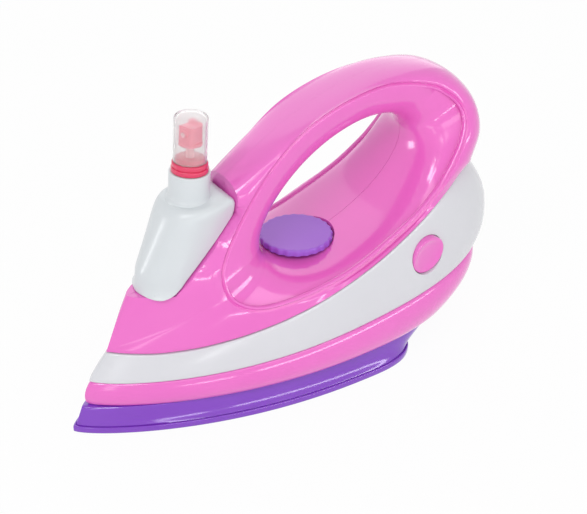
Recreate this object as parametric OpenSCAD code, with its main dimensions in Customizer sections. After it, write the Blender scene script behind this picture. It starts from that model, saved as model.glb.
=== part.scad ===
// Toy iron: a hollow two-part handle body on a stack of casings and a sole,
// with a small pump sprayer in a tank on the nose, a turning dial and two
// side buttons. Millimetres. The nose points to -X, +Z is up, and the origin
// is the middle of the flat sole.

/* [Body] */
// Length from the sole's nose tip to the back of the heel
body_l = 199; // [185:1:215]
// Height of the handle's crown above the sole
body_h = 125; // [118:1:132]
// Width of the body across the lower casings
body_w = 72; // [66:1:78]
// Wall of the moulded casings
wall = 2.2; // [1.8:0.1:2.6]
// Gap left at each joint between two mouldings
joint_gap = 0.15; // [0.1:0.05:0.25]

/* [Sole] */
// Length of the sole's flat face
sole_l = 151; // [140:1:160]
// Height of the flange round the sole
flange_h = 3.4; // [2.6:0.1:4.2]
// How far the flange stands out of the sole's side wall
flange_step = 2.2; // [1.4:0.1:3]
// Floor of the sole
sole_floor = 2.2; // [1.6:0.1:2.8]
// Edge round the sole's flat face
sole_edge = 0.6; // [0.3:0.1:1]

/* [Lower casing] */
// Underside of the deck that closes the body
deck_z = 15; // [14.5:0.1:16]
// Thickness of the deck
deck_t = 2; // [1.6:0.1:2.6]
// How far the lower casing swells between its edges
skirt_swell = 1; // [0.4:0.1:1.6]
// How far the middle casing swells at the heel
heel_swell = 9.5; // [5:0.5:10]

/* [Handle] */
// Length of the hand opening behind its middle
hole_a = 36.2; // [33:0.2:38]
// Length of the hand opening before its middle
hole_front = 43.5; // [41:0.2:45]
// Height of the hand opening below its middle line
hole_b = 18.4; // [16:0.2:19.4]
// Height of the hand opening above its middle line
hole_top = 20; // [18:0.2:21]
// Tilt of the hand opening
hole_tilt = 27.3; // [25:0.1:30]
// Width of the line moulded round the opening
line_w = 1; // [0.6:0.1:1.4]
// Depth of that line
line_d = 0.6; // [0.3:0.1:0.8]

/* [Dial] */
// Diameter over the dial's scallops
dial_d = 30.8; // [26:0.2:32]
// Thickness of the dial
dial_t = 2.8; // [2:0.1:3.4]
// Number of scallops round the dial
dial_lobes = 24; // [18:1:30]
// Depth of one scallop
lobe_d = 0.45; // [0.2:0.05:0.7]
// Diameter of the dial's stem
stem_d = 5.9; // [5:0.1:6.6]
// Number of teeth on the click wheel
click_teeth = 16; // [12:1:20]

/* [Side buttons] */
// Diameter of a side button
button_d = 16.8; // [13:0.2:18]
// How far a button stands out of the casing
button_proud = 0.8; // [0.5:0.1:1.2]
// Travel of a button
button_travel = 1.5; // [1:0.1:2]

/* [Sprayer] */
// Lean of the pump towards the handle
pump_lean = 4.5; // [3:0.5:6]
// Outer diameter of the tank's neck
neck_d = 16.1; // [15.6:0.1:17]
// Bore of the tank's neck
neck_bore = 13.6; // [13.2:0.1:14]
// Height of the neck over the tank's shoulder
neck_h = 10.9; // [9:0.1:13]
// Outer diameter of the overcap
cap_d = 13.1; // [12.7:0.1:13.5]
// Height of the overcap
cap_h = 18.8; // [18:0.1:21]
// Wall of the overcap
cap_wall = 0.9; // [0.7:0.05:1]
// Stroke of the pump
pump_stroke = 3.4; // [2.6:0.1:3.6]
// Bore of the pump's barrel
barrel_bore = 7; // [6.4:0.1:7.2]
// Diameter of the pump's stem
pump_stem_d = 3.2; // [2.8:0.1:3.4]
// Diameter of the dip tube
tube_d = 2.6; // [2.2:0.1:2.8]

/* [Screws] */
// Diameter of the screws' shanks
screw_d = 2.4; // [2:0.1:2.6]
// Diameter of the screws' heads
screw_head_d = 4.8; // [4.2:0.1:5.2]
// Diameter of the screw bosses
boss_d = 6.2; // [5.6:0.1:6.6]

/* [Hidden] */

pink = [0.93, 0.46, 0.78];
white = [0.88, 0.89, 0.92];
purple = [0.58, 0.36, 0.82];
red = [0.9, 0.2, 0.36];
clear = [0.85, 0.85, 0.88, 0.45];
steel = [0.7, 0.7, 0.72];

// Sides of true circles
$fn = 64;
// Overrun of a cutter past the face that it cuts
over = 0.5;
// Radial clearance of a turning or sliding fit
fit = 0.06;

// Places along the body are shares of body_l from the nose tip, heights are
// shares of body_h, and half widths are shares of half of body_w
nose_x = -sole_l / 2;
half_w = body_w / 2;
function at_x(share) = nose_x + share * body_l;
function at_z(share) = share * body_h;
function at_y(share) = share * half_w;
function mix(a, b, s) = a + (b - a) * s;

// Plan outline of a casing: a bow from the nose to the widest place, then a
// rounded heel. t runs from 0 at the nose to 1 at the heel.
side_steps = 32;
widest_share = 0.578;
bow_part = 0.55;
bow_power = 0.78;
function plan_y(t, w, power) = t <= bow_part
    ? w * sin(90 * pow(t / bow_part, bow_power))
    : t >= 1 ? 0 : w * pow(cos(90 * (t - bow_part) / (1 - bow_part)), 2 / power);
heel_power = 2.6;
sole_heel_power = 3.4;

// Heights of the two parting lines and of the lower casing's bottom edge
skirt_nose_share = 0.03;
skirt_heel_share = 0.928;
top_nose_share = 0.083;
top_heel_share = 0.93;
low_nose_share = 0.042;
function along(x, s0, s1) = min(1, max(0, (x - at_x(s0)) / (at_x(s1) - at_x(s0))));
low_line_shares = [[0.03, 0.087], [0.3, 0.094], [0.55, 0.101], [0.68, 0.106], [0.78, 0.116], [0.86, 0.132],
    [0.93, 0.14]];
function low_z(x) = at_z(lookup((x - nose_x) / body_l, low_line_shares));
function skirt_z(x) = at_z(mix(0.17, 0.296, pow(along(x, low_nose_share, top_heel_share), 1.6)));
top_line_shares = [[0.083, 0.259], [0.166, 0.2585], [0.241, 0.2715], [0.317, 0.2928], [0.397, 0.322], [0.482, 0.36],
    [0.568, 0.408], [0.62, 0.44], [0.668, 0.474], [0.729, 0.517], [0.799, 0.566], [0.884, 0.619], [0.93, 0.63]];
function top_z(x) = at_z(lookup((x - nose_x) / body_l, top_line_shares));

// Closed loop of points round the body from a half outline
function both_sides(half) = concat(half,
    [for (i = [len(half) - 2:-1:1]) [half[i][0], -half[i][1], half[i][2]]]);

// Faces between rings of n points, and fans of strips that close an end
function ring_faces(rows, n, closed) = [for (r = [0:rows - (closed ? 1 : 2)], i = [0:n - 1])
    let (a = r * n, b = ((r + 1) % rows) * n, j = (i + 1) % n)
    each [[a + i, a + j, b + j], [a + i, b + j, b + i]]];
function cap_faces(start, n, flip) = [for (i = [0:n / 2 - 1])
    let (a = start + i, b = start + i + 1, c = start + (n - i - 1) % n, d = start + (n - i) % n)
    each (i == 0 ? [flip ? [a, c, b] : [a, b, c]]
        : i == n / 2 - 1 ? [flip ? [a, d, b] : [a, b, d]]
        : flip ? [[a, c, b], [a, d, c]] : [[a, b, c], [a, c, d]])];

// Solid through a stack of rings, closed at both ends
module stack(rings) {
    n = len(rings[0]);
    polyhedron([for (r = rings) each r],
        concat(ring_faces(len(rings), n, false), cap_faces(0, n, true),
            cap_faces((len(rings) - 1) * n, n, false)));
}

// Solid whose sections close into a ring
module loop(sections) {
    polyhedron([for (s = sections) each s], ring_faces(len(sections), len(sections[0]), true));
}

// Smooth curve through control points: v is the place in steps of one point
function knot(list, i) = list[(i % len(list) + len(list)) % len(list)];
function end_knot(list, i) = list[min(len(list) - 1, max(0, i))];
function spline(a, b, c, d, s) = ((2 * b) + (c - a) * s + (2 * a - 5 * b + 4 * c - d) * s * s
    + (3 * b - a - 3 * c + d) * s * s * s) / 2;
function curve(list, v) = let (i = floor(v), s = v - i)
    spline(knot(list, i - 1), knot(list, i), knot(list, i + 1), knot(list, i + 2), s);
function open_curve(list, v) = let (i = floor(v), s = v - i)
    spline(end_knot(list, i - 1), end_knot(list, i), end_knot(list, i + 1), end_knot(list, i + 2), s);

// Half outline of a casing from nose to heel at heights given by z(x)
function half_rim(x0, x1, w, power, z) = [for (i = [0:side_steps])
    let (t = i / side_steps, x = t <= bow_part
        ? mix(x0, at_x(widest_share), t / bow_part)
        : mix(at_x(widest_share), x1, pow(sin(90 * (t - bow_part) / (1 - bow_part)), 2 / power)))
    [x, plan_y(t, w, power), z(x)]];
function mix_rims(a, b, s) = [for (i = [0:len(a) - 1]) a[i] * (1 - s) + b[i] * s];

// Sole: a tray with a flange, a recessed wall and four hollow bosses
sole_heel_flare_share = 1.08;
sole_nose_lean_share = 0.027;
sole_wall_power = 4;
function sole_rim(inset, z) = both_sides(half_rim(nose_x + inset, nose_x + sole_l - inset,
    half_w - inset, sole_heel_power, z));
function sole_wall_rim(inset, s, z) = both_sides(half_rim(
    nose_x + mix(flange_step, sole_l * sole_nose_lean_share, s) + inset,
    nose_x + mix(sole_l - flange_step, sole_l * sole_heel_flare_share, s) - inset,
    half_w - flange_step - inset, mix(sole_heel_power, sole_wall_power, s), z));
sole_screw_shares = [[0.17, 0], [0.41, 0.62], [0.41, -0.62], [0.67, 0.5], [0.67, -0.5]];
module at_shares(list, z) {
    for (p = list) translate([at_x(p[0]), at_y(p[1]), z]) children();
}
sole_head_z = 1.1 * sole_floor;
module sole_plate() color(purple) difference() {
    union() {
        stack([sole_rim(sole_edge, function (x) 0), sole_rim(0, function (x) sole_edge),
            sole_rim(0, function (x) flange_h - sole_edge / 2),
            sole_rim(sole_edge / 2, function (x) flange_h),
            sole_wall_rim(0, 0, function (x) flange_h),
            sole_wall_rim(0, 0.6, function (x) mix(flange_h, low_z(x), 0.55)),
            sole_wall_rim(0, 1, function (x) low_z(x) - joint_gap),
            sole_wall_rim(wall, 1, function (x) low_z(x) - joint_gap),
            sole_wall_rim(wall, 0.1, function (x) sole_floor)]);
        at_shares(sole_screw_shares, sole_floor / 2)
            cylinder(d = boss_d + screw_head_d / 2, h = low_z(nose_x) - joint_gap - sole_floor / 2);
    }
    at_shares(sole_screw_shares, -over) cylinder(d = screw_d + 6 * fit, h = at_z(0.2));
    at_shares(sole_screw_shares, -over) cylinder(d = screw_head_d + 6 * fit, h = sole_head_z + over);
}

// Screw standing on its head: z = 0 is under the head, the shank goes up
head_t = 0.5 * screw_head_d / 1.6;
module screw(length) {
    difference() {
        union() {
            translate([0, 0, -head_t]) cylinder(d = screw_head_d, h = head_t);
            cylinder(d = screw_d, h = length - screw_d / 2);
            translate([0, 0, length - screw_d / 2]) cylinder(d1 = screw_d, d2 = screw_d / 3, h = screw_d / 2);
        }
        for (a = [0, 90]) rotate([0, 0, a]) translate([-screw_head_d / 3, -screw_d / 8, -head_t - over])
            cube([screw_head_d / 1.5, screw_d / 4, over + head_t / 2]);
    }
}
sole_screw_l = 3.6 * screw_head_d;
module sole_screws() color(steel) at_shares(sole_screw_shares, sole_head_z) screw(sole_screw_l);

// Lower casing: a tray whose floor follows its bottom edge
edge_r = 1.4;
skirt_power = 2.4;
skirt_heel_out = 2.2;
function skirt_rim(v, grow, heel = 0) = both_sides(mix_rims(
    half_rim(at_x(skirt_nose_share) - grow, at_x(skirt_heel_share) + grow + heel, half_w + grow, skirt_power,
        function (x) low_z(x)),
    half_rim(at_x(low_nose_share) - grow, at_x(low_heel_share) + grow + heel, half_w + grow, heel_power,
        function (x) skirt_z(x) - joint_gap / 2), v));
low_heel_share = 0.962;
casing_screw_shares = [[0.442, 0.61], [0.442, -0.61], [0.74, 0.45], [0.74, -0.45]];
module lower_casing() color(pink) difference() {
    union() {
        stack([skirt_rim(0, -edge_r), skirt_rim(0.04, -edge_r / 3), skirt_rim(0.14, skirt_swell * 0.3),
            skirt_rim(0.5, skirt_swell, skirt_heel_out),
            skirt_rim(0.86, skirt_swell * 0.4, skirt_heel_out * 0.8), skirt_rim(0.97, -edge_r / 4),
            skirt_rim(1, -edge_r / 2), skirt_rim(1, -edge_r / 2 - wall), skirt_rim(floor_v, -wall)]);
        intersection() {
            at_shares(sole_screw_shares, low_z(nose_x) + deck_t / 2) cylinder(d = boss_d, h = sole_screw_l);
            translate([nose_x, -half_w, 0]) cube([body_l, body_w, sole_head_z + sole_screw_l + wall]);
        }
    }
    at_shares(sole_screw_shares, 0) cylinder(d = screw_d + 2 * fit, h = sole_head_z + sole_screw_l + over);
    at_shares(casing_screw_shares, 0) cylinder(d = screw_d + 6 * fit, h = at_z(0.3));
}
floor_v = 0.2;
function floor_z(x) = mix(low_z(x), skirt_z(x) - joint_gap / 2, floor_v);

// Middle casing: a wall that closes into a ring, open above and below
white_low_nose_share = 0.04;
white_heel_share = 0.963;
top_w_share = 0.944;
top_power = 2.2;
function white_rim(v, grow, heel) = both_sides(mix_rims(
    half_rim(at_x(white_low_nose_share) - grow, at_x(white_heel_share) + grow + heel, half_w + grow,
        heel_power, function (x) skirt_z(x) + joint_gap / 2),
    half_rim(at_x(top_nose_share) - grow, at_x(top_heel_share) + grow + heel,
        half_w * top_w_share + grow, top_power, function (x) top_z(x) - joint_gap / 2), v));
module middle_casing() color(white) difference() {
    union() {
        loop([white_rim(0, -edge_r / 2, 0), white_rim(0.03, -edge_r / 5, heel_swell * 0.1),
            white_rim(0.1, skirt_swell * 0.3, heel_swell * 0.4),
            white_rim(0.28, skirt_swell * 0.5, heel_swell * 0.85), white_rim(0.5, skirt_swell * 0.5, heel_swell),
            white_rim(0.75, skirt_swell * 0.3, heel_swell * 0.7), white_rim(0.95, 0, heel_swell * 0.15),
            white_rim(1, -joint_gap, 0), white_rim(1, -1.3 * wall, 0),
            white_rim(0.5, -1.3 * wall, heel_swell), white_rim(0, -1.3 * wall, 0)]);
        for (side = [-1, 1]) at_button(side) translate([0, 0, -boss_deep])
            cylinder(d = boss_bore + 2 * wall, h = boss_deep - wall * 0.87);
    }
    for (side = [-1, 1]) at_button(side) {
        translate([0, 0, -wall * 1.6]) cylinder(d = button_d + 4 * button_gap, h = 3 * wall);
        translate([0, 0, -boss_deep - over]) cylinder(d = boss_bore, h = boss_deep + over - wall * 1.5);
    }
}

// Side buttons, their springs and guides, along an axis out of the casing
spring_wire = 0.45;
button_turn = 5;
button_dip = 4.5;
button_gap = 0.12;
button_x_share = 0.748;
button_y_share = 0.925;
button_z_share = 0.4;
flange_out = 0.7;
flange_t = 1.2;
boss_bore = button_d + 2 * flange_out + 6 * button_gap;
boss_deep = wall * 1.5 + flange_t + button_travel + 3.4 * spring_wire + joint_gap;
module at_button(side) {
    mirror([0, side > 0 ? 1 : 0, 0]) translate([at_x(button_x_share), -at_y(button_y_share), at_z(button_z_share)])
        rotate([90 + button_dip, 0, button_turn]) children();
}
flange_z = -wall * 1.6 - button_gap - flange_t;
guide_z = -boss_deep - joint_gap;
module button() difference() {
    union() {
        rotate_extrude() polygon([[0, flange_z], [button_d / 2 + flange_out, flange_z],
            [button_d / 2 + flange_out, flange_z + flange_t], [button_d / 2, flange_z + flange_t],
            [button_d / 2, button_proud - lobe_d], [button_d / 2 - lobe_d, button_proud],
            [button_d * 0.4, button_proud], [button_d * 0.36, button_proud - lobe_d],
            [button_d * 0.22, button_proud - 1.6 * lobe_d], [0, button_proud - 1.9 * lobe_d]]);
        translate([0, 0, guide_z - wall - button_travel])
            cylinder(d = stem_d, h = flange_z + flange_t - guide_z + wall + button_travel);
    }
    translate([0, 0, flange_z - over]) difference() {
        cylinder(d = button_d - 2 * flange_t, h = over + flange_t * 1.5);
        translate([0, 0, -over]) cylinder(d = stem_d, h = 3 * flange_t + 2 * over);
    }
}
module side_button_left() color(pink) at_button(-1) button();
module side_button_right() color(pink) at_button(1) button();
module button_guide() difference() {
    union() {
        translate([0, 0, guide_z - wall * 0.7]) cylinder(d = boss_bore + 2 * wall, h = wall * 0.7);
        translate([0, 0, guide_z - wall * 1.4]) cylinder(d = stem_d + 2 * wall, h = wall * 1.4);
    }
    translate([0, 0, guide_z - 2 * wall]) cylinder(d = stem_d + 4 * fit, h = 3 * wall);
}
module button_guide_left() color(white) at_button(-1) button_guide();
module button_guide_right() color(white) at_button(1) button_guide();

// Coil spring as one closed tube of rings
spring_sides = 5;
module coil(r, wire, h, turns, steps) {
    n = turns * steps;
    pitch_a = atan((h - 2 * wire) / (turns * 2 * PI * r));
    pts = [for (i = [0:n], k = [0:spring_sides - 1])
        let (a = 360 * i / steps, q = 360 * k / spring_sides, rr = wire * cos(q), up = wire * sin(q))
        [(r + rr) * cos(a) + up * sin(pitch_a) * sin(a), (r + rr) * sin(a) - up * sin(pitch_a) * cos(a),
            wire + (h - 2 * wire) * i / n + up * cos(pitch_a)]];
    polyhedron(pts, concat([for (f = ring_faces(n + 1, spring_sides, false)) [f[0], f[1], f[2]]],
        [[for (k = [spring_sides - 1:-1:0]) k]], [[for (k = [0:spring_sides - 1]) n * spring_sides + k]]));
}
button_spring_h = flange_z + flange_t * 1.5 - guide_z - 2 * joint_gap;
module button_spring() translate([0, 0, guide_z + joint_gap])
    coil(stem_d / 2 + 2.2 * spring_wire, spring_wire, button_spring_h, 3, 11);
module button_spring_left() color(steel) at_button(-1) button_spring();
module button_spring_right() color(steel) at_button(1) button_spring();

groove_shares = [
    [0.3085, 0.4208, 0.5833, 0], [0.3266, 0.392, 0.6806, 0], [0.3618, 0.3768, 0.7694, 0],
    [0.4171, 0.3808, 0.8389, 0], [0.4925, 0.3984, 0.8778, 0], [0.593, 0.436, 0.8667, 0],
    [0.7186, 0.524, 0.825, 0.1], [0.7889, 0.6, 0.7889, 0.35], [0.8191, 0.648, 0.7611, 0.75],
    [0.8392, 0.688, 0.7389, 1], [0.8628, 0.7408, 0.6944, 1], [0.8794, 0.7944, 0.6111, 1],
    [0.8784, 0.8432, 0.5, 1], [0.8508, 0.8904, 0.4306, 1], [0.808, 0.9288, 0.375, 1],
    [0.7161, 0.96, 0.3333, 1], [0.6231, 0.9456, 0.3333, 1], [0.5337, 0.9, 0.3333, 1],
    [0.4673, 0.8312, 0.3333, 1], [0.4131, 0.7512, 0.3472, 1], [0.3653, 0.6568, 0.375, 0.9],
    [0.3296, 0.5792, 0.4167, 0.7], [0.3075, 0.52, 0.4639, 0.45], [0.3015, 0.472, 0.5111, 0.2]];
crown_shares = [
    [0.93, 0.632], [0.9535, 0.728], [0.9462, 0.808], [0.9221, 0.8784], [0.8769, 0.9408],
    [0.8134, 0.9777], [0.7239, 0.9872], [0.6197, 0.9579], [0.5205, 0.9009], [0.4365, 0.8314],
    [0.3593, 0.7576], [0.2886, 0.6786], [0.2239, 0.5954], [0.1683, 0.512], [0.1281, 0.42],
    [0.0829, 0.2592]];

// Handle halves. Each row of the table is one place on the line moulded
// round the opening: along, up, half width, and how round the shell is
// between that line and its edge.
low_rows = 9;
low_steps = 3;
high_steps = 3;
scoop_power = 2.3;
crown_power = 2.3;
flank_power = 0.85;
hole_x = at_x(0.623);
hole_z = at_z(0.6376);
columns = low_rows * low_steps + (len(crown_shares) - 1) * high_steps;
function row_v(j) = j < low_rows * low_steps ? j / low_steps
    : low_rows + (j - low_rows * low_steps) / high_steps;
function groove_at(v) = let (g = curve(groove_shares, v)) [at_x(g[0]), at_z(g[1]), at_y(g[2]), min(1, max(0, g[3]))];
function edge_at(v, inset) = v < low_rows
    ? let (t = v / low_rows, x = t <= bow_part
            ? mix(at_x(top_nose_share) + 2.7 * inset, at_x(widest_share), t / bow_part)
            : mix(at_x(widest_share), at_x(top_heel_share) - 1.3 * inset,
                pow(sin(90 * (t - bow_part) / (1 - bow_part)), 2 / top_power)))
        [x, top_z(x) + joint_gap / 2, plan_y(t, half_w * top_w_share - inset, top_power)]
    : let (c = open_curve(crown_shares, v - low_rows), g = groove_at(v), p = [at_x(c[0]), at_z(c[1])],
            d = [g[0], g[1]] - p) [each (p + d * inset / norm(d)), 0];
function seam_at(g, grow) = let (d = [g[0] - hole_x, g[1] - hole_z],
        u = [d[0] * cos(hole_tilt) + d[1] * sin(hole_tilt), d[1] * cos(hole_tilt) - d[0] * sin(hole_tilt)],
        l = u[0] < 0 ? hole_front : hole_a, h = u[1] < 0 ? hole_b : hole_top,
        a = atan2(u[1] / h, u[0] / l), p = [l * cos(a), h * sin(a)],
        s = norm(p) / norm(u) + grow / norm(d)) [hole_x + d[0] * s, hole_z + d[1] * s];
function scoop_point(s, g, w, q) = [each (s + ([g[0], g[1]] - s) * (1 - pow(cos(q), 2 / scoop_power))),
    max(joint_gap / 2, w * pow(sin(q), 2 / scoop_power))];
function strip_point(g, o, w, u) = let (k = g[3])
    [each ([g[0], g[1]] * (1 - u) + [o[0], o[1]] * u), max(joint_gap / 2, o[2] + (w - o[2])
        * ((1 - k) * pow(1 - u, flank_power) + k * pow(1 - pow(u, crown_power), 1 / crown_power)))];
scoop_angles = [0, 20, 38, 54, 70];
strip_steps = [0.25, 0.5, 0.78, 1];
function half_section(v) = let (g = groove_at(v), w = g[2], s = seam_at(g, 0), o = edge_at(v, 0),
        inner = edge_at(v, wall), si = seam_at(g, wall), wi = w - wall * 1.3, gp = [g[0], g[1]],
        e1 = (gp - s) / norm(gp - s), e2 = ([o[0], o[1]] - gp) / norm([o[0], o[1]] - gp))
    concat([for (q = scoop_angles) scoop_point(s, g, w, q)],
        [[each (gp - e1 * line_w / 2), w - line_d / 8], [each gp, w - line_d],
            [each (gp + e2 * line_w / 2), w - line_d / 8]],
        [for (u = strip_steps) strip_point(g, o, w, u)],
        [for (u = [1, 0.5]) strip_point(g, inner, wi, u)],
        [for (q = [90, 60, 30, 0]) scoop_point(si, g, wi, q)]);
module half_shell() {
    loop([for (j = [0:columns - 1]) [for (p = half_section(row_v(j))) [p[0], p[2], p[1]]]]);
}
// The same half filled in, a little inside its skin: what stands on the
// wall is cut to this form, so it always ends inside the wall
skin = 0.3 * wall;
function core_section(v) = let (g = groove_at(v), w = g[2] - skin, s = seam_at(g, skin), o = edge_at(v, skin),
        c = edge_at(v, 2 * skin), h = [g[0], g[1], w, g[3]])
    concat([for (q = [0, 20, 38, 54, 70]) scoop_point(s, g, w, q)], [[g[0], g[1], w]],
        [for (u = strip_steps) strip_point(h, o, w, u)], [[c[0], c[1], joint_gap / 2]]);
module half_core() {
    loop([for (j = [0:columns - 1]) [for (p = core_section(row_v(j))) [p[0], p[2], p[1]]]]);
}

// Things inside a half: posts for the casing screws, bosses for the screws
// that join the halves, and half of the dial's seat
dial_x = at_x(0.529);
dial_drop = 1.152;
dial_top = hole_z - dial_drop * hole_b;
seat_top = dial_top - dial_t - 2 * joint_gap;
seat_t = 1.5 * wall;
seat_d = dial_d + 5.8 * wall;
dish_r = dial_d / 2 + 3 * joint_gap;
dish_steps = [[0, 0.3], [0.04, 0.62], [0.14, 1.05], [0.3, 1.5], [0.5, 2], [0.5, 3.2]];
shell_screw_shares = [[0.3, 0.35, 0.53], [0.41, 0.61, 0.25], [0.6, 0.865, 0.235], [0.865, 0.77, 0.555]];
thread_y_share = 0.14;
module bay() {
    rotate([90, 0, 0]) translate([0, 0, -body_w]) linear_extrude(height = 2 * body_w)
        polygon([for (p = bay_shares) [at_x(p[0]), at_z(p[1])]]);
}
bay_shares = [[0.09, 0.4432], [0.2141, 0.4432], [0.2211, 0.4552], [0.3598, 0.66], [0.3598, 0.82], [0.09, 0.82]];
pocket_steps = [[0, 1], [0.45, 1], [0.8, 0.6], [1, 0.45], [1, 0], [0, 0]];
pocket = [for (i = [0:5]) [at_x(bay_shares[i][0]) + pocket_steps[i][0] * wall,
    at_z(bay_shares[i][1]) - pocket_steps[i][1] * wall]];
module growths(side) {
    for (i = [0:3]) if (casing_screw_shares[i][1] * side > 0)
        translate([at_x(casing_screw_shares[i][0]), at_y(casing_screw_shares[i][1]), at_z(0.25)])
            cylinder(d = boss_d, h = at_z(0.5));
    for (p = shell_screw_shares) translate([at_x(p[0]), 0, at_z(p[1])])
        rotate([-90 * side, 0, 0]) cylinder(d = boss_d, h = at_y(1));
    translate([dial_x, 0, seat_top - seat_t]) cylinder(d = seat_d, h = seat_t + 3 * dial_t);
    rotate([90, 0, 0]) translate([0, 0, -body_w]) linear_extrude(height = 2 * body_w) polygon(pocket);
}
module posts(side) for (p = casing_screw_shares) if (p[1] * side > 0) {
    foot = floor_z(at_x(p[0]) + boss_d / 2) + joint_gap;
    translate([at_x(p[0]), at_y(p[1]), foot]) cylinder(d = boss_d, h = top_z(at_x(p[0])) + wall - foot);
}
module shell(side) difference() {
    union() {
        mirror([0, side > 0 ? 0 : 1, 0]) half_shell();
        intersection() {
            mirror([0, side > 0 ? 0 : 1, 0]) half_core();
            growths(side);
        }
        posts(side);
    }
    bay();
    translate([dial_x, 0, seat_top]) rotate_extrude() polygon(concat([[0, 0], [dish_r, 0]],
        [for (s = dish_steps) [dish_r + s[0] * dial_t, s[1] * dial_t]], [[0, 3.2 * dial_t]]));
    translate([dial_x, 0, seat_top - 2 * seat_t]) cylinder(d = stem_d + 2 * fit, h = 3 * seat_t);
    for (p = casing_screw_shares) translate([at_x(p[0]), at_y(p[1]), 0])
        cylinder(d = screw_d + 2 * fit, h = at_z(0.3));
    for (p = shell_screw_shares) translate([at_x(p[0]), 0, at_z(p[1])]) rotate([-90, 0, 0]) {
        translate([0, 0, -at_y(thread_y_share)]) cylinder(d = screw_d + 2 * fit, h = at_y(1));
        translate([0, 0, at_y(head_y_share)]) cylinder(d = screw_head_d + 6 * fit, h = at_y(1));
    }
}
head_y_share = 0.15;
module upper_shell_left() color(pink) shell(-1);
module upper_shell_right() color(pink) shell(1);

shell_screw_l = at_y(head_y_share + thread_y_share) - over;
module shell_screws() color(steel) for (p = shell_screw_shares)
    translate([at_x(p[0]), at_y(head_y_share), at_z(p[1])]) rotate([90, 0, 0]) screw(shell_screw_l);
casing_screw_l = 2.9 * screw_head_d;
module casing_screws() color(steel) for (p = casing_screw_shares)
    translate([at_x(p[0]), at_y(p[1]), low_z(at_x(p[0])) - joint_gap]) screw(casing_screw_l);

// Dial, its click wheel, washer and screw, and the leaf that clicks
dial_edge = 0.4;
wheel_d = 11;
wheel_t = 1.8;
tooth_d = 0.5;
washer_d = 8;
washer_t = 0.8;
wheel_top = seat_top - seat_t - 2 * joint_gap;
stem_low = wheel_top - wheel_t - fit;
function lobed(d, depth, count, steps) = [for (i = [0:count * steps - 1]) let (a = 360 * i / (count * steps),
    r = d / 2 - depth / 2 + depth / 2 * cos(count * a)) [r * cos(a), r * sin(a)]];
module dial() color(purple) translate([dial_x, 0, 0]) difference() {
    union() {
        translate([0, 0, dial_top - dial_t]) linear_extrude(height = dial_t - dial_edge)
            polygon(lobed(dial_d, lobe_d, dial_lobes, 6));
        translate([0, 0, dial_top - dial_edge]) linear_extrude(height = dial_edge,
            scale = 1 - 2 * dial_edge / dial_d) polygon(lobed(dial_d, lobe_d, dial_lobes, 6));
        translate([0, 0, stem_low]) cylinder(d = stem_d, h = dial_top - dial_t - stem_low + dial_edge);
    }
    translate([0, 0, stem_low - over]) cylinder(d = screw_d + 2 * fit, h = dial_screw_l + over);
}
module click_wheel() color(white) translate([dial_x, 0, wheel_top - wheel_t]) difference() {
    linear_extrude(height = wheel_t) polygon(lobed(wheel_d, tooth_d, click_teeth, 4));
    translate([0, 0, -over]) cylinder(d = stem_d + 2 * fit, h = wheel_t + 2 * over);
}
module dial_washer() color(steel) translate([dial_x, 0, stem_low - washer_t - fit]) difference() {
    cylinder(d = washer_d, h = washer_t);
    translate([0, 0, -over]) cylinder(d = screw_d + 4 * fit, h = washer_t + 2 * over);
}
dial_screw_l = 1.5 * screw_head_d;
module dial_screw() color(steel) translate([dial_x, 0, stem_low - washer_t - 2 * fit]) screw(dial_screw_l);
leaf_t = 0.5;
leaf_l = 14;
module click_leaf() color(steel) translate([dial_x, -wheel_d / 2 - 2 * joint_gap - leaf_t, 0]) {
    translate([-leaf_l / 2, 0, wheel_top - wheel_t]) cube([leaf_l + 2 * leaf_t, leaf_t, wheel_t]);
    translate([leaf_l / 2, -4 * leaf_t, wheel_top - wheel_t])
        cube([6 * leaf_t, 5 * leaf_t, wheel_t + 2 * joint_gap - fit]);
}

// Tank in the nose. Each row gives half width and roundness of its plan.
tank_share_z = 0.4432;
tank_top_share = 0.724;
tank_front_shares = [[0.444, 0.1558], [0.508, 0.1638], [0.59, 0.1884], [0.684, 0.2145], [0.724, 0.2161]];
tank_width_shares = [[0.444, 0.334], [0.508, 0.345], [0.59, 0.361], [0.684, 0.378], [0.724, 0.378]];
tank_powers = [[0.444, 1.7], [0.508, 1.8], [0.59, 1.95], [0.724, 2.25]];
tank_bow = 12;
tank_taper_share = 0.32;
tank_corner = 1.5;
tank_wall = 1.8;
tank_bulge = 0.15;
bay_back = [for (i = [1:4]) [bay_shares[i][1], bay_shares[i][0]]];
function tank_rim(s, inset) = let (f = at_x(lookup(s, tank_front_shares)) + inset,
        b = at_x(lookup(s, bay_back)) - joint_gap - inset * 1.35, w = at_y(lookup(s, tank_width_shares)) - inset,
        n = lookup(s, tank_powers), a = min(tank_bow - inset, 0.93 * (b - f)),
        r = min(tank_corner, (b - f - a) * 0.6),
        side = function (x) w * (1 - tank_taper_share * pow(max(0, (x - f - a) / (tank_bow * 1.4)), 1.8)))
    both_sides(concat([for (q = [0:9:90]) [f + a * (1 - pow(cos(q), 2 / n)), w * pow(sin(q), 2 / n), at_z(s)]],
        [for (k = [1:3]) let (x = mix(f + a, b - r, k / 3)) [x, side(x), at_z(s)]],
        [[b - 0.3 * r, side(b - r) - 0.3 * r, at_z(s)], [b - tank_bulge, side(b - r) - r, at_z(s)],
            [b, 0, at_z(s)]]));
module at_neck() translate([at_x(0.2835), 0, at_z(tank_top_share)]) rotate([0, pump_lean, 0])
    translate([0, 0, neck_h]) children();
ledge = 0.72 * neck_h;
ledge_d = neck_bore - 1.1 * tank_wall;
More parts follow.
